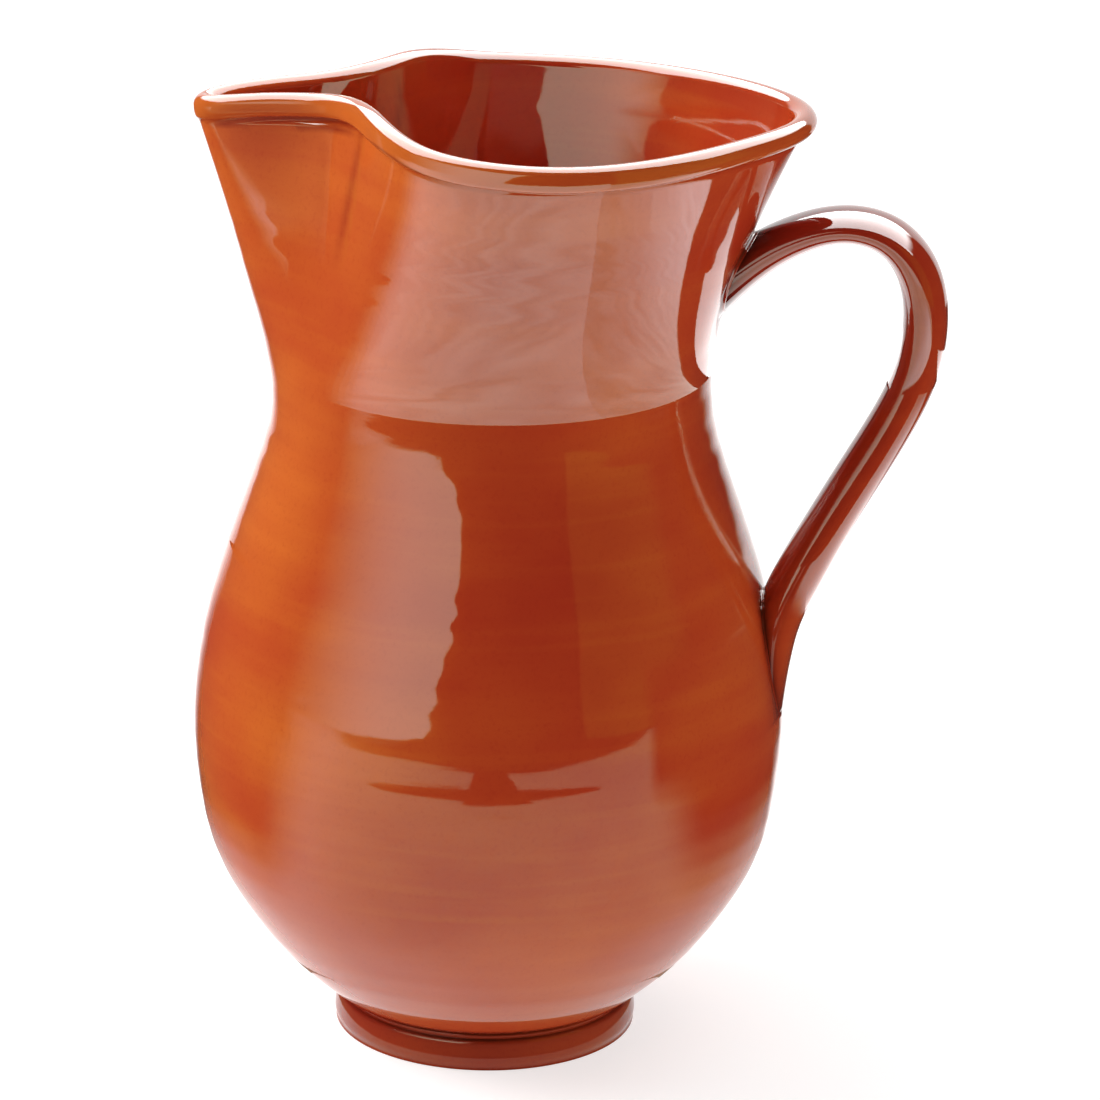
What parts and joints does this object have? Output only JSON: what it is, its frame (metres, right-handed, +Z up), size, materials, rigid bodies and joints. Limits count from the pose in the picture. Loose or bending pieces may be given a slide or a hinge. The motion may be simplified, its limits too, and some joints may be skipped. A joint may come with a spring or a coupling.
{
  "type": "ceramic pitcher",
  "caption": "Glazed wheel-thrown jug with a flared collar, a pulled pouring spout, a rolled lip, a strap handle and a turned foot ring.",
  "frame": {"origin": "middle of the footprint box, on the table plane under the foot ring", "axes": "+Z up; the pouring spout points to -X and the handle to +X; the jug is symmetric in Y"},
  "size_m": [0.1717, 0.1364, 0.2248],
  "materials": {
    "glazed_body": "glossy transparent honey-brown glaze over red clay",
    "glazed_foot": "glossy transparent brown glaze over red clay",
    "glazed_handle": "glossy transparent brown glaze over red clay",
    "joining_clay": "fired red joining clay under the glaze"
  },
  "bodies": {
    "root": {"jug_body": "glazed_body", "foot_ring": "glazed_foot", "handle": "glazed_handle", "upper_joint_slip": "joining_clay", "lower_joint_slip": "joining_clay"}
  },
  "joints": []
}
